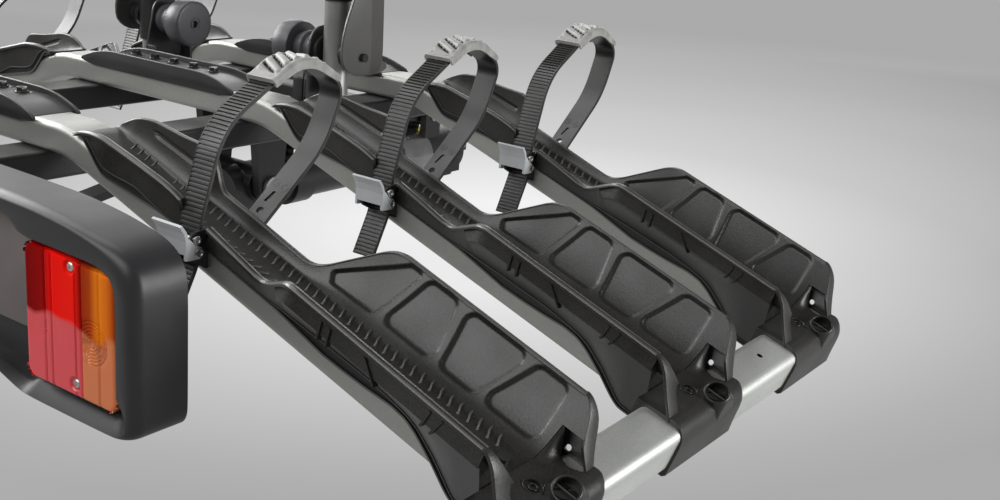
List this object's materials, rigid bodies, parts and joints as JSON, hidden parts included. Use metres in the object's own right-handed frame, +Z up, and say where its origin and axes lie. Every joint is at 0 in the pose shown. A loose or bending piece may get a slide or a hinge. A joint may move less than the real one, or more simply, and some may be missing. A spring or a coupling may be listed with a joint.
{
  "type": "tow ball bicycle carrier",
  "caption": "Platform bicycle carrier that clamps on a tow ball: sloping wheel trays with ratchet straps, folding hoop, tilting frame and light board.",
  "frame": {"origin": "centre of the tow ball that the coupling grips", "axes": "+X to the right seen from behind the car, along the rails; +Y forward, towards the car; +Z up"},
  "size_m": [1.2372, 0.8244, 0.8645],
  "materials": {
    "rail_aluminium": "satin anodised",
    "black_plastic": "fine grained",
    "black_steel": "powder coated",
    "zinc": "zinc plated",
    "grey_lever": "satin",
    "strap_black": "smooth",
    "pad_grey": "matt",
    "housing_black": "satin",
    "red_lens": "clear moulded",
    "amber_lens": "clear moulded",
    "panel_taupe": "matt",
    "polished_metal": "polished",
    "tube_silver": "satin",
    "rubber_black": "matt"
  },
  "bodies": {
    "tow_mount": {"coupling_body": "polished_metal", "coupling_pins": "zinc", "main_tube": "black_steel", "tube_saddle": "black_steel", "tilt_pin": "zinc", "latch_striker": "black_steel"},
    "jaw": {"coupling_jaw": "black_steel"},
    "clamp": {"clamp_lever": "black_steel", "clamp_grip": "black_plastic"},
    "pedal": {"tilt_pedal": "black_steel", "pedal_pad": "rubber_black"},
    "hoop": {"hoop_tube": "tube_silver", "hoop_sleeves": "black_plastic"},
    "knob_right": {"hoop_knob_right": "black_plastic"},
    "cam_lever_right": {"hoop_lever_right": "grey_lever"},
    "knob_left": {"hoop_knob_left": "black_plastic"},
    "cam_lever_left": {"hoop_lever_left": "grey_lever"},
    "buckle_rear_right": {"buckle_lever_rear_right": "grey_lever"},
    "buckle_rear_left": {"buckle_lever_rear_left": "grey_lever"},
    "buckle_middle_right": {"buckle_lever_middle_right": "grey_lever"},
    "buckle_middle_left": {"buckle_lever_middle_left": "grey_lever"},
    "buckle_front_right": {"buckle_lever_front_right": "grey_lever"},
    "buckle_front_left": {"buckle_lever_front_left": "grey_lever"},
    "platform": {"rail_rear": "rail_aluminium", "rail_middle": "rail_aluminium", "rail_front": "rail_aluminium", "channel_covers": "black_plastic", "channel_bolts": "zinc", "tray_screws": "zinc", "boss_screws": "black_plastic", "crossbar_right": "rail_aluminium", "crossbar_left": "rail_aluminium", "crossbar_caps": "black_plastic", "beam_right": "rail_aluminium", "beam_left": "rail_aluminium", "tilt_bracket": "black_steel", "latch_bracket": "black_steel", "pedal_pin": "zinc", "wheel_straps": "strap_black", "rim_pads": "pad_grey", "buckle_frames": "black_steel", "buckle_pins": "zinc", "hoop_brackets": "black_steel", "pivot_bolts": "zinc", "light_housing": "housing_black", "light_back": "housing_black", "red_lenses": "red_lens", "amber_lenses": "amber_lens", "lens_screws": "zinc", "plate_panel": "panel_taupe", "light_arms": "black_steel", "tray_rear_right": "black_plastic", "tray_rear_left": "black_plastic", "tray_middle_right": "black_plastic", "tray_middle_left": "black_plastic", "tray_front_right": "black_plastic", "tray_front_left": "black_plastic"}
  },
  "joints": [
    {"name": "clamp_lever_swing", "type": "hinge", "parent": "tow_mount", "child": "clamp", "pos_m": [0, -0.024, 0.058], "axis": [-1, 0, 0], "range_deg": [0, 70]},
    {"name": "jaw_swing", "type": "hinge", "parent": "tow_mount", "child": "jaw", "pos_m": [0, 0.036, 0.018], "axis": [1, 0, 0], "range_deg": [0, 28]},
    {"name": "platform_tilt", "type": "hinge", "parent": "tow_mount", "child": "platform", "pos_m": [0, -0.32, 0.022], "axis": [1, 0, 0], "range_deg": [0, 40]},
    {"name": "pedal_lift", "type": "hinge", "parent": "platform", "child": "pedal", "pos_m": [0, -0.235, 0.084], "axis": [-1, 0, 0], "range_deg": [0, 8]},
    {"name": "hoop_fold", "type": "hinge", "parent": "platform", "child": "hoop", "pos_m": [0, -0.325, 0.176], "axis": [1, 0, 0], "range_deg": [0, 80]},
    {"name": "cam_lever_right_swing", "type": "hinge", "parent": "platform", "child": "cam_lever_right", "pos_m": [0.161, -0.325, 0.176], "axis": [1, 0, 0], "range_deg": [0, 60]},
    {"name": "knob_right_turn", "type": "hinge", "parent": "platform", "child": "knob_right", "pos_m": [0.09, -0.325, 0.176], "axis": [1, 0, 0], "continuous": true},
    {"name": "cam_lever_left_swing", "type": "hinge", "parent": "platform", "child": "cam_lever_left", "pos_m": [-0.161, -0.325, 0.176], "axis": [1, 0, 0], "range_deg": [0, 60]},
    {"name": "knob_left_turn", "type": "hinge", "parent": "platform", "child": "knob_left", "pos_m": [-0.09, -0.325, 0.176], "axis": [1, 0, 0], "continuous": true},
    {"name": "buckle_rear_right_swing", "type": "hinge", "parent": "platform", "child": "buckle_rear_right", "pos_m": [0.299, -0.65, 0.085], "axis": [1, 0, 0], "range_deg": [0, 70], "stiffness_Nm_per_rad": 0.02, "springref_deg": -34.38},
    {"name": "buckle_rear_left_swing", "type": "hinge", "parent": "platform", "child": "buckle_rear_left", "pos_m": [-0.299, -0.65, 0.085], "axis": [1, 0, 0], "range_deg": [0, 70], "stiffness_Nm_per_rad": 0.02, "springref_deg": -34.38},
    {"name": "buckle_middle_right_swing", "type": "hinge", "parent": "platform", "child": "buckle_middle_right", "pos_m": [0.299, -0.445, 0.085], "axis": [1, 0, 0], "range_deg": [0, 70], "stiffness_Nm_per_rad": 0.02, "springref_deg": -34.38},
    {"name": "buckle_middle_left_swing", "type": "hinge", "parent": "platform", "child": "buckle_middle_left", "pos_m": [-0.299, -0.445, 0.085], "axis": [1, 0, 0], "range_deg": [0, 70], "stiffness_Nm_per_rad": 0.02, "springref_deg": -34.38},
    {"name": "buckle_front_right_swing", "type": "hinge", "parent": "platform", "child": "buckle_front_right", "pos_m": [0.299, -0.24, 0.085], "axis": [1, 0, 0], "range_deg": [0, 70], "stiffness_Nm_per_rad": 0.02, "springref_deg": -34.38},
    {"name": "buckle_front_left_swing", "type": "hinge", "parent": "platform", "child": "buckle_front_left", "pos_m": [-0.299, -0.24, 0.085], "axis": [1, 0, 0], "range_deg": [0, 70], "stiffness_Nm_per_rad": 0.02, "springref_deg": -34.38}
  ],
  "couplings": [
    {"joint": "jaw_swing", "follows": "clamp_lever_swing", "ratio": 0.4}
  ]
}
